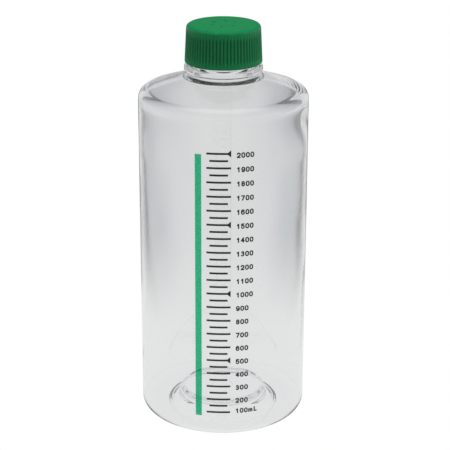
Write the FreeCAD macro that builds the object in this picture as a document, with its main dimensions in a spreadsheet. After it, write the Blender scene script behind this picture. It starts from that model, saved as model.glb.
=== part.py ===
import FreeCAD, Part
import math
import os
import re
import Sketcher
from FreeCAD import Placement, Rotation, Vector

# Two-litre cell-culture roller bottle: a clear blow-moulded vessel with a printed volume scale, closed by
# a ribbed screw cap whose vent holes are covered by a water-repellent membrane.
# Frame: millimetres, Z along the bottle's axis, origin at the centre of the foot, scale facing -Y.

# Driving dimensions: word used in the sheet, value in millimetres (or a plain count), meaning.
DIMENSIONS = [
    ("body_radius", 58.0, "outside of the cylindrical wall"),
    ("wall", 1.4, "thickness of the body wall"),
    ("floor_wall", 2.2, "thickness of the foot ring at its inner edge; it thins to the wall outwards"),
    ("corner_radius", 7.0, "outside rounding at the foot and at the shoulder"),
    ("foot_radius", 38.0, "underside: inner edge of the flat foot ring"),
    ("foot_rounding", 0.6, "rounding of that edge"),
    ("step_radius", 36.6, "underside: top of the step inside the foot ring"),
    ("step_height", 1.6, "height of that step"),
    ("step_rounding", 0.8, "rounding of that step"),
    ("flank_radius", 31.2, "underside: foot of the raised middle's wall"),
    ("flank_height", 4.0, "height of that foot"),
    ("flank_rounding", 3.0, "rounding there"),
    ("crown_radius", 27.6, "underside: edge of the raised middle"),
    ("crown_height", 9.0, "height of the raised middle's underside"),
    ("crown_rounding", 1.5, "rounding of that edge"),
    ("gate_radius", 7.2, "round recess in the middle of the underside"),
    ("gate_depth", 0.3, "depth of that recess"),
    ("inner_foot_radius", 39.0, "inside: inner edge of the foot ring's floor"),
    ("inner_step_radius", 37.6, "inside: top of the step inside the foot ring"),
    ("inner_step_height", 3.6, "height of that step"),
    ("inner_step_rounding", 0.8, "rounding of both edges of that step"),
    ("inner_flank_radius", 32.0, "inside: foot of the raised middle's wall"),
    ("inner_flank_height", 5.0, "height of that foot"),
    ("inner_flank_rounding", 3.0, "rounding there"),
    ("inner_crown_radius", 31.0, "inside: edge of the raised middle"),
    ("inner_crown_height", 13.6, "height of the raised middle's top"),
    ("inner_crown_rounding", 5.5, "rounding of that edge"),
    ("shoulder_height", 233.4, "where the wall and the shoulder cone would meet"),
    ("shoulder_wall", 1.8, "inside: thickness of the wall there"),
    ("shoulder_drop", 2.0, "inside: how far lower the wall and the cone meet"),
    ("shoulder_rounding", 10.0, "inside: rounding there"),
    ("taper_height", 190.0, "inside: the wall thickens above this height"),
    ("root_radius", 27.5, "foot of the neck"),
    ("root_height", 243.5, "height of the foot of the neck"),
    ("root_rounding", 1.4, "rounding below and above the foot of the neck"),
    ("waist_radius", 25.3, "narrowest place under the bead"),
    ("waist_height", 246.8, "height of that place"),
    ("bead_radius", 26.7, "outside of the transfer bead"),
    ("bead_bottom", 248.0, "underside of the bead"),
    ("bead_top", 251.2, "top of the bead"),
    ("bead_rounding", 1.4, "rounding of the bead's two edges"),
    ("bead_slope", 1.0, "rise from the bead's top to the neck wall"),
    ("neck_radius", 22.8, "outside of the neck between its threads"),
    ("mouth_radius", 20.8, "bore of the neck"),
    ("throat_rise", 1.0, "the bore starts this far above the foot of the neck"),
    ("throat_rounding", 3.5, "rounding where the bore opens into the vessel"),
    ("rim_height", 276.0, "sealing rim of the neck"),
    ("rim_rounding", 0.5, "rounding of the rim's two edges"),
    ("thread_pitch", 4.2333, "six threads to the inch"),
    ("thread_turns", 1.75, "length of both threads, in turns"),
    ("thread_base", 2.4, "axial width of a thread at its root"),
    ("thread_crest", 1.0, "axial width of a thread at its crest"),
    ("thread_bite", 0.3, "how far a thread is sunk into its wall"),
    ("run_out", 9.0, "length of the flat cut at each end of the neck's thread"),
    ("run_out_skin", 0.02, "what that cut leaves standing on the neck wall"),
    ("neck_thread_radius", 24.0, "crest of the neck's thread"),
    ("neck_thread_height", 262.6, "middle of the neck's thread where it starts"),
    ("cap_thread_radius", 23.15, "crest of the cap's thread"),
    ("cap_thread_drop", 1.65, "how far the cap's thread sits under the neck's"),
    ("cap_top", 279.0, "top face of the closed cap"),
    ("cap_bottom", 253.3, "lower edge of the closed cap"),
    ("cap_top_radius", 25.05, "the rib crests, taken up to the top face"),
    ("cap_bottom_radius", 26.3, "the rib crests at the lower edge"),
    ("cap_top_rounding", 2.6, "rounding of the cap's top edge"),
    ("cap_lip_rounding", 0.8, "rounding of the cap's lower edge"),
    ("cap_roof", 1.8, "thickness of the cap's top"),
    ("cap_bore_radius", 24.35, "inside of the cap's skirt"),
    ("cap_lead", 0.5, "widening of the bore at the lower edge"),
    ("cap_lead_height", 1.5, "height of that widening"),
    ("rib_count", 68, "grip ribs round the cap"),
    ("rib_depth", 0.6, "depth of the grooves between the ribs"),
    ("groove_radius", 0.9, "radius of each groove"),
    ("lip_band", 2.4, "plain band under the grooves"),
    ("rim_band", 2.6, "plain band above the grooves"),
    ("vent_count", 6, "vent holes in the cap"),
    ("vent_turn", -11, "degrees from the front to the first vent hole, seen from above"),
    ("vent_circle", 8.3, "radius of the circle of vent holes"),
    ("vent_radius", 0.8, "radius of a vent hole"),
    ("ridge_inside", 12.6, "inside of the ridge that carries the membrane"),
    ("ridge_outside", 14.0, "outside of that ridge"),
    ("ridge_depth", 0.8, "height of that ridge"),
    ("membrane_radius", 14.5, "radius of the vent membrane"),
    ("membrane_film", 0.1, "thickness of the water-repellent film"),
    ("membrane_felt", 0.3, "thickness of its felt backing"),
    ("seal_inside", 19.9, "inside radius of the sealing ring"),
    ("seal_outside", 23.9, "outside radius of the sealing ring"),
    ("seal_rounding", 0.25, "rounding of the sealing ring's edges"),
    ("ink", 0.05, "thickness of the printed ink"),
    ("scale_bottom", 18.9, "height of the 100 mL line"),
    ("scale_step", 9.86, "height of 100 mL in the cylinder"),
    ("scale_count", 20, "lines from 100 to 2000 mL"),
    ("line_width", 1.35, "thickness of a printed line"),
    ("line_offset", -3.0, "middle of the lines, round the wall from the front"),
    ("major_length", 16.3, "length of a 100 mL line"),
    ("minor_length", 12.3, "length of a 50 mL line"),
    ("arrow_length", 3.0, "length of the arrow on each 500 mL line"),
    ("arrow_height", 4.8, "height of that arrow"),
    ("stripe_width", 4.4, "width of the green stripe"),
    ("stripe_offset", -16.8, "middle of the stripe, round the wall from the front"),
    ("stripe_below", 3.3, "stripe below the lowest line"),
    ("stripe_short", 0.8, "stripe's end below the highest line"),
    ("digit_height", 3.6, "height of a numeral"),
    ("digit_advance", 3.05, "distance from one numeral to the next"),
    ("digit_stroke", 0.88, "stroke width of a numeral"),
    ("letter_gap", 1.0, "extra room after the m, which is wider than a numeral"),
    ("text_offset", 9.2, "left end of the numbers, round the wall from the front"),
    ("text_drop", 0.8, "middle of the numbers below their lines"),
    ("unit_lift", 1.9, "the lowest number sits this much higher than the rest"),
]
MAJOR_STEP_ML = 100
ARROW_STEP_ML = 500
FRONT_DEG = -90.0  # the scale faces -Y, and a sketch in the XZ plane starts at +X
CLOSE = 1e-4  # lengths, in millimetres, that differ by less are the same
PRISM_HALF = 1.0  # printed shapes are cut from prisms that reach this far to both sides of the wall

doc = FreeCAD.newDocument("RollerBottle")


# ---------------------------------------------------------------- sheet and expressions

def make_sheet():
    """The spreadsheet that holds every driving dimension."""
    sheet = doc.addObject("Spreadsheet::Sheet", "Sizes")
    for row, (word, value, meaning) in enumerate(DIMENSIONS, start=1):
        sheet.set(f"A{row}", word)
        sheet.set(f"B{row}", str(value))
        sheet.setAlias(f"B{row}", word)
        sheet.set(f"C{row}", meaning)
    doc.recompute()
    return sheet


sheet = make_sheet()


def bound(formula):
    """The formula with every sheet word written as Sizes.word, as an expression needs it."""
    return re.sub(r"[a-z]\w*", lambda word: "Sizes." + word.group(0), formula)


def size(formula):
    """The value of a formula of sheet words."""
    return float(sheet.evalExpression(bound(formula)))


# ---------------------------------------------------------------- modelling helpers

def new_body(label):
    body = doc.addObject("PartDesign::Body", label)
    body.Label = label
    return body


def origin_plane(body, role):
    return next(f for f in body.Origin.OriginFeatures if f.Role == role)


def pin_point(sketch, name, line, formula, axis):
    """Holds a line's first point at a distance from the sketch's origin, or on an axis where that is 0."""
    value = size(formula)
    if abs(value) < CLOSE:
        on_axis = -2 if axis == "X" else -1
        sketch.addConstraint(Sketcher.Constraint("PointOnObject", line, 1, on_axis))
        return
    index = sketch.addConstraint(Sketcher.Constraint("Distance" + axis, -1, 1, line, 1, value))
    sketch.renameConstraint(index, name)
    sketch.setExpression("Constraints." + name, bound(formula))


def outline(body, label, corners):
    """A closed outline in the XZ plane. Each corner is a pair of formulas: radius and height."""
    sketch = body.newObject("Sketcher::SketchObject", label)
    sketch.AttachmentSupport = [(origin_plane(body, "XZ_Plane"), "")]
    sketch.MapMode = "FlatFace"
    points = [Vector(size(radius), size(height), 0) for radius, height in corners]
    count = len(points)
    for i in range(count):
        sketch.addGeometry(Part.LineSegment(points[i], points[(i + 1) % count]))
    for i in range(count):
        sketch.addConstraint(Sketcher.Constraint("Coincident", i, 2, (i + 1) % count, 1))
    for i, (radius, height) in enumerate(corners):
        pin_point(sketch, f"radius{i}", i, radius, "X")
        pin_point(sketch, f"height{i}", i, height, "Y")
    return sketch


def revolve(body, label, corners, angle="360"):
    """Turns an outline about the Z axis, evenly to both sides of the XZ plane."""
    profile = outline(body, label + "_outline", corners)
    feature = body.newObject("PartDesign::Revolution", label)
    feature.Profile = profile
    feature.ReferenceAxis = (profile, ["V_Axis"])
    feature.Midplane = True
    feature.setExpression("Angle", bound(angle))
    doc.recompute()
    return feature


def ring_edges(shape, rings):
    """Names of the circular edges round Z with the given radii and heights."""
    names = []
    for radius, height in rings:
        for i, edge in enumerate(shape.Edges, start=1):
            curve = edge.Curve
            if not isinstance(curve, Part.Circle):
                continue
            same_radius = abs(curve.Radius - size(radius)) < CLOSE
            if same_radius and abs(curve.Center.z - size(height)) < CLOSE:
                names.append(f"Edge{i}")
                break
        else:
            raise ValueError(f"no ring of radius {radius} at height {height}")
    return names


def round_rings(body, label, radius, rings):
    """Rounds circular edges of the body's last feature."""
    base = body.Tip
    feature = body.newObject("PartDesign::Fillet", label)
    feature.Base = (base, ring_edges(base.Shape, rings))
    feature.setExpression("Radius", bound(radius))
    doc.recompute()
    return feature


def thread(body, label, root, crest, height):
    """A right-hand thread of trapezoid section, from its root radius to its crest radius."""
    profile = outline(body, label + "_section", [
        (root, f"{height} - thread_base / 2"),
        (crest, f"{height} - thread_crest / 2"),
        (crest, f"{height} + thread_crest / 2"),
        (root, f"{height} + thread_base / 2"),
    ])
    helix = body.newObject("PartDesign::AdditiveHelix", label)
    helix.Profile = profile
    helix.ReferenceAxis = (profile, ["V_Axis"])
    helix.Mode = "pitch-turns-angle"
    helix.setExpression("Pitch", bound("thread_pitch"))
    helix.setExpression("Turns", bound("thread_turns"))
    doc.recompute()
    return helix


def cut_checked(feature, before):
    """Stops if a cutting feature took nothing away."""
    if not feature.Shape.Volume < before - CLOSE:
        raise ValueError(f"{feature.Label} cuts nothing")


# ---------------------------------------------------------------- vessel

def fade_thread_end(body, label, height, turn):
    """Lets the neck's thread run out: a flat cut, tangent to the neck, across the thread's end."""
    before = body.Tip.Shape.Volume
    sketch = body.newObject("Sketcher::SketchObject", label + "_block")
    sketch.AttachmentSupport = [(origin_plane(body, "XY_Plane"), "")]
    sketch.MapMode = "FlatFace"
    near = size("neck_radius + run_out_skin")
    far = size("neck_thread_radius + thread_bite")
    reach = size("run_out")
    corners = [(near, 0.0), (far, 0.0), (far, reach), (near, reach)]
    spin = Rotation(Vector(0, 0, 1), 360.0 * turn)
    points = [spin.multVec(Vector(x, -y if turn else y, 0)) for x, y in corners]
    for i, point in enumerate(points):
        sketch.addGeometry(Part.LineSegment(point, points[(i + 1) % 4]))
    sketch.setExpression("AttachmentOffset.Base.z", bound(f"{height} - thread_pitch / 2"))
    pocket = body.newObject("PartDesign::Pocket", label)
    pocket.Profile = sketch
    pocket.Reversed = True
    pocket.setExpression("Length", bound("thread_pitch"))
    doc.recompute()
    cut_checked(pocket, before)


def make_bottle():
    """The one-piece vessel: base with a raised middle, cylinder, shoulder cone, neck, bead and thread."""
    body = new_body("bottle")
    foot = ("foot_radius", "0")
    step = ("step_radius", "step_height")
    flank = ("flank_radius", "flank_height")
    crown = ("crown_radius", "crown_height")
    inner_foot = ("inner_foot_radius", "floor_wall")
    inner_step = ("inner_step_radius", "inner_step_height")
    inner_flank = ("inner_flank_radius", "inner_flank_height")
    inner_crown = ("inner_crown_radius", "inner_crown_height")
    inner_corner = ("body_radius - wall", "wall")
    inner_shoulder = ("body_radius - shoulder_wall", "shoulder_height - shoulder_drop")
    revolve(body, "vessel_wall", [
        ("0", "crown_height + gate_depth"),
        ("gate_radius", "crown_height + gate_depth"),
        ("gate_radius", "crown_height"),
        crown,
        flank,
        step,
        foot,
        ("body_radius", "0"),
        ("body_radius", "shoulder_height"),
        ("root_radius", "root_height"),
        ("waist_radius", "waist_height"),
        ("bead_radius", "bead_bottom"),
        ("bead_radius", "bead_top"),
        ("neck_radius", "bead_top + bead_slope"),
        ("neck_radius", "rim_height"),
        ("mouth_radius", "rim_height"),
        ("mouth_radius", "root_height + throat_rise"),
        inner_shoulder,
        ("body_radius - wall", "taper_height"),
        inner_corner,
        inner_foot,
        inner_step,
        inner_flank,
        inner_crown,
        ("0", "inner_crown_height"),
    ])
    outer_corners = [("body_radius", "0"), ("body_radius", "shoulder_height")]
    round_rings(body, "outer_corners", "corner_radius", outer_corners)
    round_rings(body, "inner_corner", "corner_radius - wall", [inner_corner])
    round_rings(body, "inner_shoulder", "shoulder_rounding", [inner_shoulder])
    round_rings(body, "foot_edge", "foot_rounding", [foot])
    round_rings(body, "step_edge", "step_rounding", [step])
    round_rings(body, "flank_foot", "flank_rounding", [flank])
    round_rings(body, "crown_edge", "crown_rounding", [crown])
    round_rings(body, "inner_step_edges", "inner_step_rounding", [inner_foot, inner_step])
    round_rings(body, "inner_flank_foot", "inner_flank_rounding", [inner_flank])
    round_rings(body, "inner_crown_edge", "inner_crown_rounding", [inner_crown])
    bead = [("bead_radius", "bead_bottom"), ("bead_radius", "bead_top")]
    round_rings(body, "bead_edges", "bead_rounding", bead)
    root = [("root_radius", "root_height"), ("waist_radius", "waist_height")]
    round_rings(body, "neck_root", "root_rounding", root)
    throat = [("mouth_radius", "root_height + throat_rise")]
    round_rings(body, "throat", "throat_rounding", throat)
    rim = [("neck_radius", "rim_height"), ("mouth_radius", "rim_height")]
    round_rings(body, "rim_edges", "rim_rounding", rim)
    thread(body, "neck_thread", "neck_radius - thread_bite", "neck_thread_radius", "neck_thread_height")
    fade_thread_end(body, "thread_start", "neck_thread_height", 0.0)
    top = "(neck_thread_height + thread_pitch * thread_turns)"
    fade_thread_end(body, "thread_finish", top, size("thread_turns") % 1.0)
    return body


# ---------------------------------------------------------------- cap

def make_vents(body):
    """The ring of vent holes through the cap's top."""
    before = body.Tip.Shape.Volume
    sketch = body.newObject("Sketcher::SketchObject", "vent_circle")
    sketch.AttachmentSupport = [(origin_plane(body, "XY_Plane"), "")]
    sketch.MapMode = "FlatFace"
    sketch.setExpression("AttachmentOffset.Base.z", bound("cap_top"))
    sketch.setExpression("AttachmentOffset.Rotation.Angle", bound("vent_turn") + " * 1 deg")
    centre = Vector(0, -size("vent_circle"), 0)
    sketch.addGeometry(Part.Circle(centre, Vector(0, 0, 1), size("vent_radius")))
    sketch.addConstraint(Sketcher.Constraint("PointOnObject", 0, 3, -2))
    place = sketch.addConstraint(Sketcher.Constraint("DistanceY", 0, 3, -1, 1, size("vent_circle")))
    sketch.renameConstraint(place, "circle")
    sketch.setExpression("Constraints.circle", bound("vent_circle"))
    width = sketch.addConstraint(Sketcher.Constraint("Radius", 0, size("vent_radius")))
    sketch.renameConstraint(width, "hole")
    sketch.setExpression("Constraints.hole", bound("vent_radius"))
    hole = body.newObject("PartDesign::Pocket", "vent_hole")
    hole.Profile = sketch
    hole.setExpression("Length", bound("cap_roof + ridge_depth"))
    doc.recompute()
    cut_checked(hole, before)
    pattern = body.newObject("PartDesign::PolarPattern", "vent_holes")
    pattern.Originals = [hole]
    pattern.Axis = (sketch, ["N_Axis"])
    pattern.setExpression("Occurrences", bound("vent_count"))
    body.Tip = pattern
    doc.recompute()
    cut_checked(pattern, hole.Shape.Volume)


def make_grip(body):
    """The grip: grooves that follow the skirt's slope between a plain band below and one above."""
    before = body.Tip.Shape.Volume
    slope = "(cap_bottom_radius - cap_top_radius) / (cap_top - cap_bottom)"
    surface = f"cap_bottom_radius - lip_band * {slope}"
    sketch = body.newObject("Sketcher::SketchObject", "groove_section")
    sketch.AttachmentSupport = [(origin_plane(body, "XY_Plane"), "")]
    sketch.MapMode = "FlatFace"
    sketch.setExpression("AttachmentOffset.Base.z", bound("cap_bottom + lip_band"))
    distance = f"{surface} + groove_radius - rib_depth"
    sketch.addGeometry(Part.Circle(Vector(size(distance), 0, 0), Vector(0, 0, 1), size("groove_radius")))
    sketch.addConstraint(Sketcher.Constraint("PointOnObject", 0, 3, -1))
    place = sketch.addConstraint(Sketcher.Constraint("DistanceX", -1, 1, 0, 3, size(distance)))
    sketch.renameConstraint(place, "distance")
    sketch.setExpression("Constraints.distance", bound(distance))
    width = sketch.addConstraint(Sketcher.Constraint("Radius", 0, size("groove_radius")))
    sketch.renameConstraint(width, "groove")
    sketch.setExpression("Constraints.groove", bound("groove_radius"))
    groove = body.newObject("PartDesign::Pocket", "groove")
    groove.Profile = sketch
    groove.UseCustomVector = True
    groove.Direction = Vector(-size(slope), 0, 1)
    groove.setExpression("Length", bound("cap_top - rim_band - cap_bottom - lip_band"))
    doc.recompute()
    cut_checked(groove, before)
    pattern = body.newObject("PartDesign::PolarPattern", "grip_grooves")
    pattern.Originals = [groove]
    pattern.Axis = (sketch, ["N_Axis"])
    pattern.setExpression("Occurrences", bound("rib_count"))
    body.Tip = pattern
    doc.recompute()
    cut_checked(pattern, groove.Shape.Volume)


def make_cap():
    """The screw cap: roof with vents and a membrane ridge, ribbed skirt and internal thread."""
    body = new_body("cap")
    ceiling = "cap_top - cap_roof"
    revolve(body, "cap_shell", [
        ("0", "cap_top"),
        ("cap_top_radius", "cap_top"),
        ("cap_bottom_radius", "cap_bottom"),
        ("cap_bore_radius + cap_lead", "cap_bottom"),
        ("cap_bore_radius", "cap_bottom + cap_lead_height"),
        ("cap_bore_radius", ceiling),
        ("ridge_outside", ceiling),
        ("ridge_outside", f"{ceiling} - ridge_depth"),
        ("ridge_inside", f"{ceiling} - ridge_depth"),
        ("ridge_inside", ceiling),
        ("0", ceiling),
    ])
    round_rings(body, "top_edge", "cap_top_rounding", [("cap_top_radius", "cap_top")])
    round_rings(body, "lower_lip", "cap_lip_rounding", [("cap_bottom_radius", "cap_bottom")])
    make_vents(body)
    make_grip(body)
    height = "neck_thread_height - cap_thread_drop"
    thread(body, "cap_thread", "cap_bore_radius + thread_bite", "cap_thread_radius", height)
    return body


def make_seal():
    """The loose sealing ring between the neck's rim and the cap's ceiling."""
    body = new_body("seal_ring")
    low, high = "rim_height", "cap_top - cap_roof"
    revolve(body, "seal_section", [
        ("seal_inside", low),
        ("seal_outside", low),
        ("seal_outside", high),
        ("seal_inside", high),
    ])
    edges = [("seal_inside", low), ("seal_outside", low), ("seal_outside", high), ("seal_inside", high)]
    round_rings(body, "seal_edges", "seal_rounding", edges)
    return body


def make_disc(label, thickness, top):
    """A thin round sheet hung under the membrane ridge; top is its upper face."""
    disc = doc.addObject("Part::Cylinder", label)
    disc.Label = label
    disc.setExpression("Radius", bound("membrane_radius"))
    disc.setExpression("Height", bound(thickness))
    disc.setExpression("Placement.Base.z", bound(f"{top} - {thickness}"))
    return disc


# ---------------------------------------------------------------- print

def printed_arc(label, low, high, length, offset):
    """A patch of ink on the wall: low to high along Z, length round the wall, its middle at offset."""
    body = new_body(label)
    body.AllowCompound = True
    revolve(body, label + "_ink", [
        ("body_radius", low),
        ("body_radius + ink", low),
        ("body_radius + ink", high),
        ("body_radius", high),
    ], angle=f"{length} / body_radius * {math.degrees(1.0)}")
    turn = FRONT_DEG + math.degrees(size(offset) / size("body_radius"))
    body.Placement = Placement(Vector(), Rotation(Vector(0, 0, 1), turn))
    return body


def repeat_up(body, label, step, count):
    """Repeats the body's last feature up the wall."""
    base = body.Tip
    pattern = body.newObject("PartDesign::LinearPattern", label)
    pattern.Originals = [base]
    pattern.Direction = (base.Profile[0], ["V_Axis"])
    pattern.setExpression("Length", bound(f"{step} * ({count} - 1)"))
    pattern.setExpression("Occurrences", bound(count))
    body.Tip = pattern
    doc.recompute()


def make_lines(label, first, length, count):
    """A column of printed lines, one for each step of the scale."""
    low, high = f"{first} - line_width / 2", f"{first} + line_width / 2"
    body = printed_arc(label, low, high, length, "line_offset")
    repeat_up(body, label + "_column", "scale_step", count)
    return body


def on_wall(prism, offset, height):
    """Carries a prism drawn in the XY plane to the wall, offset round it from the front."""
    turn = math.degrees(offset / size("body_radius"))
    to_front = Rotation(Vector(1, 0, 0), 90)
    spin = Rotation(Vector(0, 0, 1), turn)
    seat = spin.multVec(Vector(0, -size("body_radius"), height))
    placed = prism.copy()
    placed.Placement = Placement(seat, spin * to_front)
    return placed


def wall_ink():
    """The whole film of ink round the wall, from which printed shapes are taken."""
    height = size("shoulder_height")
    outer = Part.makeCylinder(size("body_radius + ink"), height)
    return outer.cut(Part.makeCylinder(size("body_radius"), height))


def arrow_prism():
    """An arrowhead pointing left, with its flat side at the origin, as a prism through the XY plane."""
    length, half = size("arrow_length"), size("arrow_height") / 2
    low = -PRISM_HALF
    corners = [Vector(0, -half, low), Vector(0, half, low), Vector(-length, 0, low), Vector(0, -half, low)]
    return Part.Face(Part.makePolygon(corners)).extrude(Vector(0, 0, 2 * PRISM_HALF))


def make_major_lines(ink):
    """The 100 mL lines, with an arrowhead on the right end of every 500 mL line."""
    lines = make_lines("plain_major_lines", "scale_bottom", "major_length", "scale_count")
    right = size("line_offset + major_length / 2")
    arrows = []
    for step in range(int(size("scale_count"))):
        if (step + 1) * MAJOR_STEP_ML % ARROW_STEP_ML == 0:
            height = size("scale_bottom") + step * size("scale_step")
            arrows.append(on_wall(arrow_prism(), right, height).common(ink))
    node = doc.addObject("Part::Feature", "major_graduations")
    node.Label = "major_graduations"
    node.Shape = lines.Shape.fuse(arrows).removeSplitter()
    return node


# Numerals are drawn with a round pen. Pen paths are in units of the numeral's height, from its lower left:
# ("line", x0, y0, x1, y1) or ("arc", centre x, centre y, radius, first degree, last degree).
BOWL = 0.25  # radius of the round strokes
TALL = 0.8  # height of a pen path; the pen's own width brings it to one
WIDE = 2 * BOWL
GLYPHS = {
    "0": [("arc", BOWL, TALL - BOWL, BOWL, 0, 180), ("arc", BOWL, BOWL, BOWL, 180, 360),
          ("line", 0, BOWL, 0, TALL - BOWL), ("line", WIDE, BOWL, WIDE, TALL - BOWL)],
    "1": [("line", 0.3, 0, 0.3, TALL), ("line", 0.3, TALL, 0.08, 0.6)],
    "2": [("arc", BOWL, TALL - BOWL, BOWL, -32, 170), ("line", 0.462, 0.418, 0, 0), ("line", 0, 0, WIDE, 0)],
    "3": [("arc", 0.24, 0.6, 0.2, -90, 150), ("arc", 0.24, 0.22, 0.22, -150, 90)],
    "4": [("line", 0.36, 0, 0.36, TALL), ("line", 0.36, TALL, 0, 0.24), ("line", 0, 0.24, WIDE, 0.24)],
    "5": [("line", 0.06, TALL, 0.46, TALL), ("line", 0.06, TALL, 0.03, 0.42),
          ("arc", 0.24, 0.26, 0.26, -150, 143)],
    "6": [("arc", BOWL, BOWL, BOWL, 0, 360), ("line", 0, BOWL, 0, TALL - BOWL),
          ("arc", BOWL, TALL - BOWL, BOWL, 35, 180)],
    "7": [("line", 0, TALL, WIDE, TALL), ("line", WIDE, TALL, 0.16, 0)],
    "8": [("arc", BOWL, 0.6, 0.2, 0, 360), ("arc", BOWL, 0.22, 0.22, 0, 360)],
    "9": [("arc", BOWL, TALL - BOWL, BOWL, 0, 360), ("line", WIDE, BOWL, WIDE, TALL - BOWL),
          ("arc", BOWL, BOWL, BOWL, 215, 360)],
    "m": [("line", 0, 0, 0, 0.52), ("line", 0.32, 0, 0.32, 0.36), ("line", 0.64, 0, 0.64, 0.36),
          ("arc", 0.16, 0.36, 0.16, 0, 180), ("arc", 0.48, 0.36, 0.16, 0, 180)],
    "L": [("line", 0, 0, 0, TALL), ("line", 0, 0, 0.42, 0)],
}


def dot(x, y, pen):
    """The round end of a pen stroke."""
    return Part.makeCylinder(pen, 2 * PRISM_HALF, Vector(x, y, -PRISM_HALF))


def line_stroke(x0, y0, x1, y1, pen):
    """A straight pen stroke with round ends."""
    run = Vector(x1 - x0, y1 - y0, 0)
    side = Vector(-run.y, run.x, 0).normalize() * pen
    start, end = Vector(x0, y0, -PRISM_HALF), Vector(x1, y1, -PRISM_HALF)
    ring = [start + side, end + side, end - side, start - side, start + side]
    bar = Part.Face(Part.makePolygon(ring)).extrude(Vector(0, 0, 2 * PRISM_HALF))
    return bar.fuse([dot(x0, y0, pen), dot(x1, y1, pen)])


def arc_stroke(x, y, radius, first, last, pen):
    """A round pen stroke with round ends, drawn counterclockwise."""
    centre, up = Vector(x, y, -PRISM_HALF), Vector(0, 0, 1)
    sweep = last - first
    band = Part.makeCylinder(radius + pen, 2 * PRISM_HALF, centre, up, sweep)
    band = band.cut(Part.makeCylinder(radius - pen, 2 * PRISM_HALF, centre, up, 360))
    band.rotate(centre, up, first)
    if sweep >= 360:
        return band
    ends = [math.radians(first), math.radians(last)]
    return band.fuse([dot(x + radius * math.cos(a), y + radius * math.sin(a), pen) for a in ends])


def glyph_prism(name):
    """One character as a prism through the XY plane, lower left at the origin."""
    tall, pen = size("digit_height"), size("digit_stroke") / 2
    strokes = []
    for kind, *numbers in GLYPHS[name]:
        if kind == "line":
            x0, y0, x1, y1 = (tall * value for value in numbers)
            strokes.append(line_stroke(x0, y0, x1, y1, pen))
        else:
            x, y, radius = (tall * value for value in numbers[:3])
            strokes.append(arc_stroke(x, y, radius, *numbers[3:], pen))
    glyph = strokes[0].fuse(strokes[1:]).removeSplitter()
    glyph.translate(Vector(pen, pen, 0))
    return glyph


def make_numerals(ink):
    """The number beside every 100 mL line, and the unit beside the lowest."""
    prisms = {name: glyph_prism(name) for name in GLYPHS}
    marks = []
    for step in range(int(size("scale_count"))):
        text = str((step + 1) * MAJOR_STEP_ML)
        height = size("scale_bottom - text_drop - digit_height / 2") + step * size("scale_step")
        if step == 0:
            text += "mL"
            height += size("unit_lift")
        for place, name in enumerate(text):
            offset = size("text_offset") + place * size("digit_advance")
            if name == "L":
                offset += size("letter_gap")
            marks.append(on_wall(prisms[name], offset, height).common(ink))
    node = doc.addObject("Part::Feature", "volume_numerals")
    node.Label = "volume_numerals"
    node.Shape = Part.makeCompound([solid for mark in marks for solid in mark.Solids])
    return node


# ---------------------------------------------------------------- assembly

def make_all():
    ink = wall_ink()
    ridge_foot = "cap_top - cap_roof - ridge_depth"
    half_step = "scale_bottom + scale_step / 2"
    stripe_bottom = "scale_bottom - stripe_below"
    stripe_top = "scale_bottom + scale_step * (scale_count - 1) - stripe_short"
    return [
        make_bottle(),
        make_cap(),
        make_seal(),
        make_disc("membrane_backing", "membrane_felt", ridge_foot),
        make_disc("vent_membrane", "membrane_film", f"{ridge_foot} - membrane_felt"),
        printed_arc("green_stripe", stripe_bottom, stripe_top, "stripe_width", "stripe_offset"),
        make_major_lines(ink),
        make_lines("minor_graduations", half_step, "minor_length", "scale_count - 1"),
        make_numerals(ink),
    ]


def check_and_export(pieces):
    """Stops on any failed object or bad solid, then writes one STEP file for each sub-part."""
    doc.recompute()
    for item in doc.Objects:
        if "Invalid" in item.State or "Error" in item.State:
            raise ValueError(f"{item.Label} failed: {item.State}")
    for piece in pieces:
        shape = piece.Shape
        if shape.isNull() or not shape.isValid() or not shape.Solids:
            raise ValueError(f"{piece.Label} has no valid solid")
    os.makedirs("parts", exist_ok=True)
    for piece in pieces:
        piece.Shape.exportStep(os.path.join("parts", piece.Label + ".step"))
        print(f"{piece.Label}: {len(piece.Shape.Solids)} solids, {piece.Shape.Volume / 1000:.3f} cm3")


check_and_export(make_all())
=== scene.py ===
import math

import bmesh
import bpy
from mathutils import Matrix, Quaternion, Vector, noise


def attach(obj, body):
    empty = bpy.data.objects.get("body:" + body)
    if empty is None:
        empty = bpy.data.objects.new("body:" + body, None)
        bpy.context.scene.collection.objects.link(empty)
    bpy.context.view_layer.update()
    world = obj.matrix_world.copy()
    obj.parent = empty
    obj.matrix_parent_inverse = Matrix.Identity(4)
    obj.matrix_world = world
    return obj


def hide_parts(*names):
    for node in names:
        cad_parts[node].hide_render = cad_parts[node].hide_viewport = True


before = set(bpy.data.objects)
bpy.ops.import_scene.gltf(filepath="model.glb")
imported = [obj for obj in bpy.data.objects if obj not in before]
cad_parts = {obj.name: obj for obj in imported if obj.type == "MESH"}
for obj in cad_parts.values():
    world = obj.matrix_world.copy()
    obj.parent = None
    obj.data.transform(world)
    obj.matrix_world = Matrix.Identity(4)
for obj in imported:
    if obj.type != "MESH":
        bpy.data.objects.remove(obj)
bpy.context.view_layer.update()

# Two-litre roller bottle: clear blow-moulded vessel, printed scale, green ribbed screw cap with vent holes.
# The scene is in metres, with +Z up the bottle's axis and the scale facing -Y. A number times MM is in
# millimetres, and so are the radii, heights and roundings that make up the outlines.

MM = 0.001
TINY = 1e-7

# ---------------------------------------------------------------- sizes of the vessel

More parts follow.
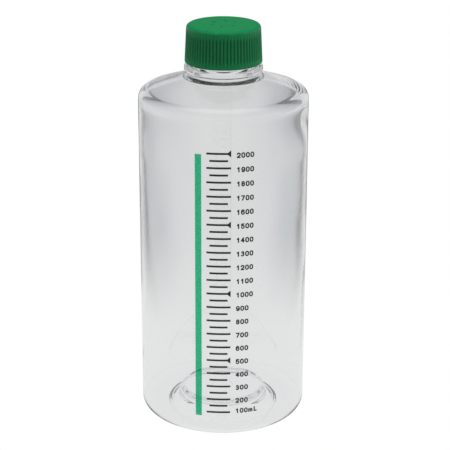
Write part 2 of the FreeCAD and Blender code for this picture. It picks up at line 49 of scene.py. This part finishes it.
# The body is 0.03 mm slimmer than in the CAD, which keeps the wall clear of the back of the print.
BODY_RADIUS = 57.97
BODY_CORNER = 7.0
BODY_BORE = 56.6
SHOULDER_HEIGHT = 233.4
BEAD_RADIUS = 26.7
NECK_RADIUS = 22.8
NECK_BORE = 20.8
NECK_TOP = 276.0
BASE_RECESS = 9.3
BASE_CROWN = 9.0
FLOOR_CROWN = 13.6

# Corners as radius, height and rounding, from the middle of the base out and up to the rim.
VESSEL_OUTSIDE = [
    (0.0, BASE_RECESS, 0.0),
    (7.0, BASE_RECESS, 0.3),
    (7.2, BASE_CROWN, 0.3),
    (27.6, BASE_CROWN, 1.5),
    (31.2, 4.0, 3.0),
    (36.6, 1.6, 0.8),
    (38.0, 0.0, 0.6),
    (BODY_RADIUS, 0.0, BODY_CORNER),
    (BODY_RADIUS, SHOULDER_HEIGHT, BODY_CORNER),
    (27.5, 243.5, 1.4),
    (25.3, 246.8, 1.4),
    (BEAD_RADIUS, 248.0, 1.2),
    (BEAD_RADIUS, 251.2, 1.2),
    (NECK_RADIUS, 252.2, 0.4),
    (NECK_RADIUS, NECK_TOP, 0.5),
]

# The same from the rim down the inside to the middle of the floor.
VESSEL_INSIDE = [
    (NECK_BORE, NECK_TOP, 0.5),
    (NECK_BORE, 244.5, 3.5),
    (56.2, 231.4, 10.0),
    (BODY_BORE, 190.0, 60.0),
    (BODY_BORE, 1.4, 5.6),
    (39.0, 2.2, 0.8),
    (37.6, 3.6, 0.8),
    (32.0, 5.0, 3.0),
    (31.0, FLOOR_CROWN, 5.5),
    (0.0, FLOOR_CROWN, 0.0),
]
VESSEL_SEGMENTS = 192
VESSEL_STEP = 4 * MM

# The blown wall's unevenness, which starts above the base and grows towards the shoulder.
WAVE_DEPTH = 0.12 * MM
WAVES_ROUND, FINE_WAVES_ROUND = 1.4, 3.1  # noise lumps per radius, round the wall
WAVE_RISE, FINE_WAVE_RISE = 70 * MM, 30 * MM  # height of a lump
EXTRA_ALL_ROUND = 0.2 * MM
EXTRA_ON_ONE_SIDE = 1.0 * MM
EXTRA_SIDE = 0.3  # radians from +X
WAVES_FROM, WAVES_FULL = 10 * MM, 40 * MM
EXTRA_FROM, EXTRA_FULL = 190 * MM, 215 * MM
WALL_FROM, WALL_FULL = 40 * MM, 54 * MM  # radii: the base and the neck stay even

# ---------------------------------------------------------------- sizes of the threads

THREAD_PITCH = 25.4 / 6 * MM
THREAD_TURNS = 1.75
THREAD_HEIGHT = 1.2 * MM
THREAD_HALF_CREST = 0.5 * MM
THREAD_HALF_ROOT = 1.2 * MM
THREAD_FADE = 0.06  # of a turn, at each end
THREAD_MARGIN = 2 * MM
NECK_THREAD_START = 262.6 * MM
CAP_THREAD_START = 260.95 * MM
NECK_THREAD_STEP = 0.25 * MM
CAP_THREAD_STEP = 0.35 * MM

# ---------------------------------------------------------------- sizes of the cap

CAP_BOTTOM = 253.3
CAP_TOP = 279.0
CAP_BORE = 24.35
CAP_CEILING = 277.2
MEMBRANE_RIDGE = 276.4
CAP_SIDE_FROM = 24 * MM  # radius: what is further out belongs to the cap's side wall

# From the bottom edge up the outside to the middle of the top.
CAP_OUTSIDE = [
    (24.85, CAP_BOTTOM, 0.0),
    (26.3, CAP_BOTTOM, 0.8),
    (25.05, CAP_TOP, 2.6),
    (0.0, CAP_TOP, 0.0),
]

# From the middle of the ceiling out over the membrane's ridge and down to the bottom edge.
CAP_INSIDE = [
    (0.0, CAP_CEILING, 0.0),
    (12.6, CAP_CEILING, 0.2),
    (12.6, MEMBRANE_RIDGE, 0.2),
    (14.0, MEMBRANE_RIDGE, 0.2),
    (14.0, CAP_CEILING, 0.2),
    (CAP_BORE, CAP_CEILING, 0.4),
    (CAP_BORE, 254.8, 1.0),
    (24.85, CAP_BOTTOM, 0.0),
]
CAP_STEP = 5 * MM
CAP_SHARP = math.radians(45)  # edges sharper than this aren't smoothed

RIBS = 68
RIB_DEPTH = 0.6 * MM
RIBS_BOTTOM = 255.7 * MM
RIBS_TOP = 276.4 * MM
RIB_FADE_BOTTOM = 0.8 * MM
RIB_FADE_TOP = 1.0 * MM
RIB_END_BOTTOM = 1.2 * MM
RIB_END_TOP = 1.4 * MM
RIB_END_STEP = 0.25 * MM
CAP_SEGMENTS = RIBS * 8

VENTS = 6
VENT_CIRCLE = 8.3 * MM
VENT_TURN = math.radians(-101)
VENT_SEGMENTS = 24
# Radius and height of the shape that cuts a vent, a plain hole with a countersink.
VENT_CUTTER = [(0.0, 275.5), (0.8, 275.5), (0.8, 278.5), (1.3, 279.1), (0.0, 279.1)]

# ---------------------------------------------------------------- colours and grain

# Lumps per metre of the noise that varies each material.
HAZE_LUMPS = 40
CAP_LUMPS = 260
CAP_GRAIN = 2500
PRINT_LUMPS = 900
INK_LUMPS = 1800
FOAM_LUMPS = 1500
FILM_LUMPS = 700
FELT_LUMPS = 2200

GRAIN_DEPTH = 0.05 * MM

CLEAR_TONE = (0.965, 0.968, 0.97, 1)
CLEAR_SHADOW = (0.9, 0.9, 0.9, 1)
CLEAR_ROUGHNESS = (0.015, 0.035)
CLEAR_IOR = 1.57

CAP_TONES = ((0.015, 0.32, 0.105, 1), (0.017, 0.34, 0.115, 1))
# Painted shade: a darker green for the cap's grooves.
CAP_GROOVE_SHADE_TONE = (0.004, 0.05, 0.02, 1)
# Painted shade: a dark green outline where the cap is seen at grazing angles.
CAP_EDGE_SHADE_TONE = (0.008, 0.07, 0.03, 1)
# How strongly each painted shade is mixed into the cap's colour.
CAP_GROOVE_SHADE_MIX = 0.75
CAP_EDGE_SHADE_MIX = 0.5
CAP_SIDE_SHEEN = 0.22
CAP_TOP_SHEEN = 0.01

PRINT_TONES = ((0.035, 0.5, 0.27, 1), (0.04, 0.52, 0.28, 1))
PRINT_TINT = (0.25, 0.82, 0.6, 1)
PRINT_CLEARNESS = (0.81, 0.83)

INK_TONES = ((0.006, 0.006, 0.006), (0.02, 0.02, 0.02))
FOAM_TONES = ((0.62, 0.62, 0.6), (0.75, 0.75, 0.72))
FILM_TONES = ((0.78, 0.79, 0.8), (0.86, 0.86, 0.86))
FELT_TONES = ((0.7, 0.7, 0.68), (0.86, 0.86, 0.84))

# ---------------------------------------------------------------- brightness and sizes of the studio

WHITE = (1, 1, 1, 1)
STUDIO_TINT = (0.97, 0.98, 1.0, 1)

# How bright the studio is, relative to white, for rays that the object mirrors, bends or scatters.
OVERHEAD = 1.0
MIDDLE = 0.3
HORIZON = 0.8
RIGHT_SIDE = 0.2
THROUGH = 0.72
FILL = 0.05
FLOOR_FAR = 0.77
FLOOR_NEAR = 0.82
FLOOR_FRONT = 0.7
FLOOR_FILL = 0.2

# Where in the world each part of that glow begins and is full: the upward or sideways part of a ray.
HORIZON_FROM, HORIZON_FULL = 0.5, 0.1
OVERHEAD_FROM, OVERHEAD_FULL = 0.82, 0.95
RIGHT_FROM, RIGHT_FULL = 0.5, 0.95

# How far behind the bottle, or in front where negative, the floor's brightness changes.
FLOOR_NEAR_UNTIL, FLOOR_FAR_FROM = 0.06, 0.4
FLOOR_FRONT_UNTIL, FLOOR_BACK_FROM = -0.4, -0.05

FLOOR_REACH = 4.0
FLOOR_DROP = 0.2 * MM

# How the floor darkens to both sides behind the bottle: sideways slant from the axis, and brightness.
BACKDROP = [
    (0.0, (1.0, 1.0, 1.0)),
    (0.05, (0.93, 0.93, 0.94)),
    (0.10, (0.75, 0.77, 0.79)),
    (0.13, (0.65, 0.68, 0.70)),
    (0.165, (0.56, 0.58, 0.61)),
    (0.19, (0.40, 0.42, 0.44)),
    (0.215, (0.12, 0.13, 0.14)),
    (0.33, (0.05, 0.06, 0.07)),
    (0.37, (0.95, 0.95, 0.95)),
]
BACKDROP_WHITE = 0.027  # to each side of the axis, before the slant starts to count
BACKDROP_NEAREST = 0.03  # the slant to a nearer place is worked out as if it were this far behind
BACKDROP_FROM, BACKDROP_FULL = 0.12, 0.38  # how far behind the bottle it fades in

# Name, place, side and power in watts of each square light.
LIGHTS = [
    ("overhead_light", (0, 0, 1.6), 1.2, 17),
    ("right_light", (1.5, -0.5, 0.7), 0.8, 4.5),
    ("left_light", (-1.5, -0.5, 0.7), 0.8, 2),
]
LIGHT_AIM = Vector((0, 0, 0.2))

CAMERA_AIM = Vector((1.3 * MM, 0, 135.5 * MM))
CAMERA_ELEVATION = math.radians(20.4)
CAMERA_DISTANCE = 1.0788
CAMERA_ROLL = math.radians(0.16)
CAMERA_LENS = 123.2
CAMERA_SENSOR = 36


# ---------------------------------------------------------------- shapes

def rounded(corners, step=6.0):
    """The outline in metres, each corner rounded by a tangent arc with a point at most every step degrees."""
    points = []
    for i, (x, z, radius) in enumerate(corners):
        here = Vector((x, z))
        if radius == 0 or i in (0, len(corners) - 1):
            points.append(here)
            continue
        before = (Vector(corners[i - 1][:2]) - here).normalized()
        after = (Vector(corners[i + 1][:2]) - here).normalized()
        half = before.angle(after) / 2
        reach = radius / math.tan(half)
        centre = here + (before + after).normalized() * radius / math.sin(half)
        start = here + before * reach - centre
        turn = start.angle_signed(here + after * reach - centre)
        count = max(3, math.ceil(math.degrees(abs(turn)) / step))
        for k in range(count + 1):
            angle = -turn * k / count
            cos, sin = math.cos(angle), math.sin(angle)
            points.append(centre + Vector((start.x * cos - start.y * sin, start.x * sin + start.y * cos)))
    return [point * MM for point in points]


def refined(points, step):
    """The same outline with no stretch longer than step(point)."""
    dense = []
    for here, there in zip(points, points[1:]):
        count = max(1, math.ceil((there - here).length / step((here + there) / 2)))
        dense += [here.lerp(there, k / count) for k in range(count)]
    return dense + [points[-1]]


def smooth(value, low, high):
    """0 below low, 1 above high, and an even passage between them."""
    part = min(1.0, max(0.0, (value - low) / (high - low)))
    return part * part * (3 - 2 * part)


def thread_rise(height, turn, start):
    """How far a thread stands out at a height; turn is the angle from +X in turns, start where it begins."""
    rise = 0.0
    for lap in range(3):
        along = lap + turn
        if along > THREAD_TURNS:
            continue
        away = abs(height - start - THREAD_PITCH * along)
        flank = (THREAD_HALF_ROOT - away) / (THREAD_HALF_ROOT - THREAD_HALF_CREST)
        fade = min(1.0, along / THREAD_FADE, (THREAD_TURNS - along) / THREAD_FADE)
        rise = max(rise, min(1.0, flank) * THREAD_HEIGHT * max(0.0, fade))
    return rise


def near_thread(height, start):
    return start - THREAD_MARGIN < height < start + THREAD_PITCH * THREAD_TURNS + THREAD_MARGIN


def turned(name, rings, segments):
    """A surface of revolution about Z. Each ring is a point and an offset(radius, height, turn) or None."""
    verts, faces, rows = [], [], []
    for point, offset in rings:
        if point.x < TINY:
            rows.append([len(verts)])
            verts.append((0.0, 0.0, point.y))
            continue
        row = []
        for k in range(segments):
            turn = k / segments
            radius = point.x + (offset(point.x, point.y, turn) if offset else 0.0)
            angle = 2 * math.pi * turn
            row.append(len(verts))
            verts.append((radius * math.cos(angle), radius * math.sin(angle), point.y))
        rows.append(row)
    for low, high in zip(rows, rows[1:]):
        if len(low) == len(high) == 1:
            continue
        for k in range(segments):
            after = (k + 1) % segments
            if len(low) == 1:
                faces.append((low[0], high[after], high[k]))
            elif len(high) == 1:
                faces.append((low[k], low[after], high[0]))
            else:
                faces.append((low[k], low[after], high[after], high[k]))
    mesh = bpy.data.meshes.new(name)
    mesh.from_pydata(verts, [], faces)
    mesh.validate()
    mesh.shade_smooth()
    obj = bpy.data.objects.new(name, mesh)
    bpy.context.scene.collection.objects.link(obj)
    return obj


# ---------------------------------------------------------------- vessel

def neck_thread(radius, height, turn):
    on_neck = abs(radius - NECK_RADIUS * MM) < 0.1 * MM
    if not on_neck or not near_thread(height, NECK_THREAD_START):
        return 0.0
    return thread_rise(height, turn, NECK_THREAD_START)


def uneven_wall(radius, height, turn):
    """The blown inner wall is slightly wavy, and thicker towards the shoulder, most of all on the +X side."""
    angle = 2 * math.pi * turn
    around = Vector((math.cos(angle), math.sin(angle), 0))
    waves = noise.noise(around * WAVES_ROUND + Vector((3, 5, height / WAVE_RISE)))
    waves += 0.5 * noise.noise(around * FINE_WAVES_ROUND + Vector((8, 1, height / FINE_WAVE_RISE)))
    lean = 0.5 + 0.5 * math.cos(angle - EXTRA_SIDE)
    extra = (EXTRA_ALL_ROUND + EXTRA_ON_ONE_SIDE * lean ** 2) * smooth(height, EXTRA_FROM, EXTRA_FULL)
    thick = WAVE_DEPTH * waves + extra
    return -thick * smooth(height, WAVES_FROM, WAVES_FULL) * smooth(radius, WALL_FROM, WALL_FULL)


def make_vessel():
    """The blow-moulded bottle, one closed skin of outside and inside."""
    rim = rounded([VESSEL_OUTSIDE[-2], VESSEL_OUTSIDE[-1], VESSEL_INSIDE[0]])[1:-1]
    outside = rounded(VESSEL_OUTSIDE)[:-1] + rim
    inside = rounded([VESSEL_OUTSIDE[-1]] + VESSEL_INSIDE)[1:]

    def outer_step(point):
        threaded = near_thread(point.y, NECK_THREAD_START) and point.x < 23 * MM
        return NECK_THREAD_STEP if threaded else VESSEL_STEP

    def inner_step(point):
        return VESSEL_STEP

    rings = [(point, neck_thread) for point in refined(outside, outer_step)]
    rings += [(point, uneven_wall) for point in refined(inside, inner_step)]
    return turned("bottle_shell", rings, VESSEL_SEGMENTS)


# ---------------------------------------------------------------- cap

def cap_taper():
    """The cap's tapered side: radius and height of its lower end, and the radius gained per height."""
    low, high = CAP_OUTSIDE[1], CAP_OUTSIDE[2]
    return low[0] * MM, low[1] * MM, (high[0] - low[0]) / (high[1] - low[1])


def grip(radius, height, turn):
    """Rounded grooves that leave a plain band under them and a plain rounded rim above."""
    low_radius, low_height, slope = cap_taper()
    crest = low_radius + slope * (height - low_height)
    fade = smooth(height, RIBS_BOTTOM, RIBS_BOTTOM + RIB_FADE_BOTTOM)
    fade *= 1 - smooth(height, RIBS_TOP - RIB_FADE_TOP, RIBS_TOP)
    groove = crest - RIB_DEPTH * fade * math.cos(math.pi * RIBS * turn) ** 2
    return min(0.0, groove - radius)


def cap_thread(radius, height, turn):
    if radius < CAP_SIDE_FROM or not near_thread(height, CAP_THREAD_START):
        return 0.0
    return -thread_rise(height, turn, CAP_THREAD_START)


def vent_cutter():
    """Six round holes with a small countersink, joined in one cutting shape."""
    outline = [(Vector(point) * MM, None) for point in VENT_CUTTER]
    cutter = turned("vent_cutter", outline, VENT_SEGMENTS)
    merged = bmesh.new()
    for k in range(VENTS):
        angle = VENT_TURN + 2 * math.pi * k / VENTS
        place = Matrix.Translation((VENT_CIRCLE * math.cos(angle), VENT_CIRCLE * math.sin(angle), 0))
        hole = cutter.data.copy()
        hole.transform(place)
        merged.from_mesh(hole)
        bpy.data.meshes.remove(hole)
    merged.to_mesh(cutter.data)
    merged.free()
    return cutter


def carve(obj, cutter):
    """Takes the cutter's volume out of the object, and the cutter out of the scene."""
    modifier = obj.modifiers.new("carve", "BOOLEAN")
    modifier.operation = "DIFFERENCE"
    modifier.solver = "EXACT"
    modifier.object = cutter
    carved = bpy.data.meshes.new_from_object(obj.evaluated_get(bpy.context.evaluated_depsgraph_get()))
    carved.name = obj.name
    obj.modifiers.clear()
    obj.data = carved
    bpy.data.objects.remove(cutter)


def make_cap():
    """The ribbed screw cap, with its inside thread, membrane ridge and vent holes."""
    def outer_step(point):
        at_bottom = abs(point.y - RIBS_BOTTOM) < RIB_END_BOTTOM
        at_top = abs(point.y - RIBS_TOP) < RIB_END_TOP
        return RIB_END_STEP if (at_bottom or at_top) and point.x > CAP_SIDE_FROM else CAP_STEP

    def inner_step(point):
        threaded = near_thread(point.y, CAP_THREAD_START) and point.x > CAP_SIDE_FROM
        return CAP_THREAD_STEP if threaded else CAP_STEP

    rings = [(point, grip) for point in refined(rounded(CAP_OUTSIDE, step=9.0), outer_step)]
    rings += [(point, cap_thread) for point in refined(rounded(CAP_INSIDE, step=30.0), inner_step)]
    shell = turned("cap_shell", rings, CAP_SEGMENTS)
    cleaned = bmesh.new()
    cleaned.from_mesh(shell.data)
    bmesh.ops.remove_doubles(cleaned, verts=cleaned.verts, dist=TINY)
    cleaned.to_mesh(shell.data)
    cleaned.free()
    carve(shell, vent_cutter())
    shell.data.set_sharp_from_angle(angle=CAP_SHARP)
    return shell


# ---------------------------------------------------------------- materials

class Nodes:
    """A shader being built: a node's sockets are set by name or number, and linked by giving a socket."""

    def __init__(self, tree):
        self.tree = tree
        tree.nodes.clear()

    def add(self, kind, props=None, **sockets):
        node = self.tree.nodes.new("ShaderNode" + kind)
        for key, value in (props or {}).items():
            setattr(node, key, value)
        for key, value in sockets.items():
            self.put(node, key.replace("_", " "), value)
        return node

    def put(self, node, socket, value):
        target = node.inputs[socket]
        if isinstance(value, bpy.types.NodeSocket):
            self.tree.links.new(value, target)
        else:
            target.default_value = value

    def math(self, operation, *values):
        node = self.add("Math", {"operation": operation})
        for i, value in enumerate(values):
            self.put(node, i, value)
        return node.outputs[0]

    def vector(self, operation, *values):
        """Vector arithmetic: the outputs are the vector, first, and Value."""
        node = self.add("VectorMath", {"operation": operation})
        for i, value in enumerate(values):
            self.put(node, i, value)
        return node.outputs

    def spread(self, value, low, high, start=0.0, end=1.0):
        """Value from low to high carried smoothly to start to end."""
        node = self.add("MapRange", {"interpolation_type": "SMOOTHSTEP"}, Value=value)
        for socket, number in (("From Min", low), ("From Max", high), ("To Min", start), ("To Max", end)):
            self.put(node, socket, number)
        return node.outputs[0]

    def split(self, vector):
        """The vector's three parts."""
        return self.add("SeparateXYZ", Vector=vector).outputs

    def mix_shaders(self, part, first, second):
        node = self.add("MixShader")
        self.put(node, 0, part)
        self.put(node, 1, first.outputs[0])
        self.put(node, 2, second.outputs[0])
        return node

    def mix_colors(self, part, first, second):
        node = self.add("Mix", {"data_type": "RGBA"})
        self.put(node, 0, part)
        self.put(node, 6, first)
        self.put(node, 7, second)
        return node.outputs[2]

    def speckle(self, scale, detail=2.0, stretch=(1, 1, 1)):
        """Smooth noise over the object's own coordinates; scale is in lumps per metre."""
        place = self.add("Mapping", Vector=self.add("TexCoord").outputs["Object"], Scale=stretch)
        return self.add("TexNoise", Vector=place.outputs[0], Scale=scale, Detail=detail).outputs[0]

    def grain(self, strength, height):
        """A fine bump that follows the height, which runs from 0 to 1."""
        return self.add("Bump", Strength=strength, Distance=GRAIN_DEPTH, Height=height).outputs[0]

    def finish(self, shader, kind="OutputMaterial"):
        out = self.add(kind)
        self.put(out, "Surface", shader.outputs[0])


def new_material(name):
    material = bpy.data.materials.new(name)
    material.use_nodes = True
    return material, Nodes(material.node_tree)


def clear_plastic():
    """Clear plastic that lets lamps shine through it."""
    material, nodes = new_material("clear_plastic")
    haze = nodes.spread(nodes.speckle(HAZE_LUMPS), 0.3, 0.7, *CLEAR_ROUGHNESS)
    plastic = nodes.add("BsdfPrincipled", Base_Color=CLEAR_TONE, Roughness=haze, IOR=CLEAR_IOR)
    nodes.put(plastic, "Transmission Weight", 1.0)
    clear = nodes.add("BsdfTransparent", Color=CLEAR_SHADOW)
    lamp = nodes.add("LightPath").outputs["Is Shadow Ray"]
    nodes.finish(nodes.mix_shaders(lamp, plastic, clear))
    return material


def groove_shade_mask(nodes):
    """0 on the crests of the cap's ribs and on its rim, 1 at the bottom of the grooves: where painted shade
    goes into the cap's colour.
    """
    x, y, z = nodes.split(nodes.add("TexCoord").outputs["Object"])
    radius = nodes.math("SQRT", nodes.math("ADD", nodes.math("MULTIPLY", x, x), nodes.math("MULTIPLY", y, y)))
    low_radius, low_height, slope = cap_taper()
    crest = nodes.math("MULTIPLY_ADD", nodes.math("SUBTRACT", z, low_height), slope, low_radius)
    depth = nodes.spread(nodes.math("SUBTRACT", crest, radius), 0.1 * MM, RIB_DEPTH)
    below_rim = nodes.spread(z, RIBS_TOP, RIBS_TOP - 1.5 * MM)
    return nodes.math("MULTIPLY", depth, below_rim)


def green_plastic():
    """Satin moulded plastic with a dull top, with painted shade down in the grooves and a painted dark
    outline at grazing angles.
    """
    material, nodes = new_material("green_plastic")
    lumps = nodes.spread(nodes.speckle(CAP_LUMPS, 3), 0.35, 0.65)
    tone = nodes.mix_colors(lumps, *CAP_TONES)
    # Painted shade: the colour turns darker green down in the grooves.
    groove = nodes.math("MULTIPLY", groove_shade_mask(nodes), CAP_GROOVE_SHADE_MIX)
    tone = nodes.mix_colors(groove, tone, CAP_GROOVE_SHADE_TONE)
    # Painted shade: a dark outline that grows where the surface is seen at grazing angles.
    edge = nodes.math("MULTIPLY", nodes.add("LayerWeight", Blend=0.25).outputs["Facing"], CAP_EDGE_SHADE_MIX)
    tone = nodes.mix_colors(edge, tone, CAP_EDGE_SHADE_TONE)
    grain = nodes.grain(0.25, nodes.speckle(CAP_GRAIN, 3))
    shader = nodes.add("BsdfPrincipled", Base_Color=tone, Roughness=0.5, Normal=grain)
    facing_up = nodes.split(nodes.add("NewGeometry").outputs["Normal"])[2]
    sheen = nodes.spread(facing_up, 0.3, 0.85, CAP_SIDE_SHEEN, CAP_TOP_SHEEN)
    nodes.put(shader, "Specular IOR Level", sheen)
    nodes.finish(shader)
    return material


def mottled(name, tones, scale, roughness, stretch=(1, 1, 1)):
    """A dull surface whose colour wanders between two tones."""
    material, nodes = new_material(name)
    dark, light = tones
    lumps = nodes.speckle(scale, 4, stretch)
    tone = nodes.mix_colors(nodes.spread(lumps, 0.35, 0.65), (*dark, 1), (*light, 1))
    grain = nodes.grain(0.3, lumps)
    nodes.finish(nodes.add("BsdfPrincipled", Base_Color=tone, Roughness=roughness, Normal=grain))
    return material


def green_print():
    """A thin coat of green ink that the light behind it shines through."""
    material, nodes = new_material("green_ink")
    lumps = nodes.speckle(PRINT_LUMPS, 3)
    tone = nodes.mix_colors(nodes.spread(lumps, 0.3, 0.7), *PRINT_TONES)
    coat = nodes.add("BsdfPrincipled", Base_Color=tone, Roughness=0.5)
    tint = nodes.add("BsdfTransparent", Color=PRINT_TINT)
    nodes.finish(nodes.mix_shaders(nodes.spread(lumps, 0.2, 0.8, *PRINT_CLEARNESS), coat, tint))
    return material


def paint(node, material):
    """Gives the CAD node's own mesh the material."""
    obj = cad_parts[node]
    obj.data.materials.clear()
    obj.data.materials.append(material)


# ---------------------------------------------------------------- studio

def area_light(name, place, side, power):
    """A square light aimed at the bottle, hidden from the camera and from mirrored and bent rays."""
    light = bpy.data.lights.new(name, "AREA")
    light.shape = "RECTANGLE"
    light.size = side
    light.size_y = side
    light.energy = power
    obj = bpy.data.objects.new(name, light)
    bpy.context.scene.collection.objects.link(obj)
    obj.location = place
    obj.rotation_euler = (LIGHT_AIM - Vector(place)).to_track_quat("-Z", "Y").to_euler()
    obj.visible_glossy = False
    obj.visible_transmission = False
    obj.visible_camera = False
    return obj


def make_world():
    """White for the camera, a studio with soft light overhead for mirrored rays, even light for the rest."""
    world = bpy.data.worlds.new("studio")
    bpy.context.scene.world = world
    world.use_nodes = True
    nodes = Nodes(world.node_tree)
    side, _, up = nodes.split(nodes.add("TexCoord").outputs["Generated"])
    around = nodes.spread(up, HORIZON_FROM, HORIZON_FULL, MIDDLE, HORIZON)
    overhead = nodes.spread(up, OVERHEAD_FROM, OVERHEAD_FULL, 0, OVERHEAD)
    right = nodes.spread(side, RIGHT_FROM, RIGHT_FULL, 0, RIGHT_SIDE)
    glow = nodes.math("ADD", nodes.math("ADD", around, overhead), right)
    studio = nodes.add("Background", Color=STUDIO_TINT, Strength=glow)
    through = nodes.add("Background", Color=STUDIO_TINT, Strength=THROUGH)
    fill = nodes.add("Background", Strength=FILL)
    white = nodes.add("Background", Color=WHITE, Strength=1.0)
    rays = nodes.add("LightPath").outputs
    shader = nodes.mix_shaders(rays["Is Transmission Ray"], studio, through)
    shader = nodes.mix_shaders(rays["Is Diffuse Ray"], shader, fill)
    shader = nodes.mix_shaders(rays["Is Camera Ray"], shader, white)
    nodes.finish(shader, "OutputWorld")


def backdrop(nodes):
    """The floor as the bottle shows it: it darkens to both sides behind the bottle, seen from any side."""
    spot = nodes.add("NewGeometry").outputs["Position"]
    spaces = {"vector_type": "VECTOR", "convert_from": "CAMERA", "convert_to": "WORLD"}
    forward = nodes.add("VectorTransform", spaces, Vector=(0, 0, 1)).outputs[0]
    forward = nodes.vector("NORMALIZE", nodes.vector("MULTIPLY", forward, (1, 1, 0))[0])[0]
    behind = nodes.vector("DOT_PRODUCT", spot, forward)["Value"]
    sideways = nodes.vector("SUBTRACT", spot, nodes.vector("MULTIPLY", forward, behind)[0])[0]
    aside = nodes.math("SUBTRACT", nodes.vector("LENGTH", sideways)["Value"], BACKDROP_WHITE)
    slant = nodes.math("DIVIDE", aside, nodes.math("MAXIMUM", behind, BACKDROP_NEAREST))
    ramp = nodes.add("ValToRGB", Fac=slant)
    stops = ramp.color_ramp.elements
    stops.remove(stops[1])
    for i, (place, color) in enumerate(BACKDROP):
        stop = stops[0] if i == 0 else stops.new(place)
        stop.position = place
        stop.color = (*color, 1)
    tone = nodes.mix_colors(nodes.spread(behind, BACKDROP_FROM, BACKDROP_FULL), WHITE, ramp.outputs[0])
    level = nodes.spread(behind, FLOOR_NEAR_UNTIL, FLOOR_FAR_FROM, FLOOR_NEAR, FLOOR_FAR)
    front = nodes.spread(behind, FLOOR_FRONT_UNTIL, FLOOR_BACK_FROM, FLOOR_FRONT, 1)
    return nodes.add("Emission", Color=tone, Strength=nodes.math("MULTIPLY", level, front))


def make_floor():
    """A pale floor that the camera sees as white from above, and doesn't see from below."""
    mesh = bpy.data.meshes.new("floor")
    corners = [(-1, -1), (1, -1), (1, 1), (-1, 1)]
    mesh.from_pydata([(x * FLOOR_REACH, y * FLOOR_REACH, 0) for x, y in corners], [], [(0, 1, 2, 3)])
    floor = bpy.data.objects.new("floor", mesh)
    bpy.context.scene.collection.objects.link(floor)
    floor.location.z = -FLOOR_DROP
    material, nodes = new_material("pale_floor")
    white = nodes.add("Emission", Color=WHITE, Strength=1.0)
    dim = nodes.add("Emission", Color=WHITE, Strength=FLOOR_FILL)
    rays = nodes.add("LightPath").outputs
    shader = nodes.mix_shaders(rays["Is Diffuse Ray"], backdrop(nodes), dim)
    shader = nodes.mix_shaders(rays["Is Camera Ray"], shader, white)
    from_below = nodes.add("NewGeometry").outputs["Backfacing"]
    nodes.finish(nodes.mix_shaders(from_below, shader, nodes.add("BsdfTransparent")))
    mesh.materials.append(material)


def make_studio():
    """Soft light from above and from both sides; light may cross the clear walls many times."""
    bpy.context.scene.view_settings.view_transform = "Standard"
    cycles = bpy.context.scene.cycles
    cycles.max_bounces = 32
    cycles.glossy_bounces = 24
    cycles.transmission_bounces = 32
    make_world()
    make_floor()
    [area_light(*light) for light in LIGHTS]


def make_camera():
    """The camera, with a long lens, in front of the scale and above the cap, looking down."""
    camera = bpy.data.cameras.new("camera")
    camera.lens = CAMERA_LENS
    camera.sensor_width = CAMERA_SENSOR
    obj = bpy.data.objects.new("camera", camera)
    bpy.context.scene.collection.objects.link(obj)
    back = CAMERA_DISTANCE * math.cos(CAMERA_ELEVATION)
    rise = CAMERA_DISTANCE * math.sin(CAMERA_ELEVATION)
    obj.location = (0, -back, CAMERA_AIM.z + rise)
    ahead = (CAMERA_AIM - obj.location).to_track_quat("-Z", "Y")
    obj.rotation_euler = (ahead @ Quaternion((0, 0, 1), CAMERA_ROLL)).to_euler()
    bpy.context.scene.camera = obj


# ---------------------------------------------------------------- the whole scene

def install(shell, node, material):
    """Shows the shell in the place of the CAD node, moving with it."""
    shell.data.materials.clear()
    shell.data.materials.append(material)
    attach(shell, node)
    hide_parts(node)


install(make_vessel(), "bottle", clear_plastic())
install(make_cap(), "cap", green_plastic())
paint("seal_ring", mottled("seal_foam", FOAM_TONES, FOAM_LUMPS, 0.7))
paint("vent_membrane", mottled("vent_film", FILM_TONES, FILM_LUMPS, 0.45))
paint("membrane_backing", mottled("vent_felt", FELT_TONES, FELT_LUMPS, 0.95, (1, 4, 1)))
black_ink = mottled("black_ink", INK_TONES, INK_LUMPS, 0.45)
for printed in ("major_graduations", "minor_graduations", "volume_numerals"):
    paint(printed, black_ink)
paint("green_stripe", green_print())
make_studio()
make_camera()
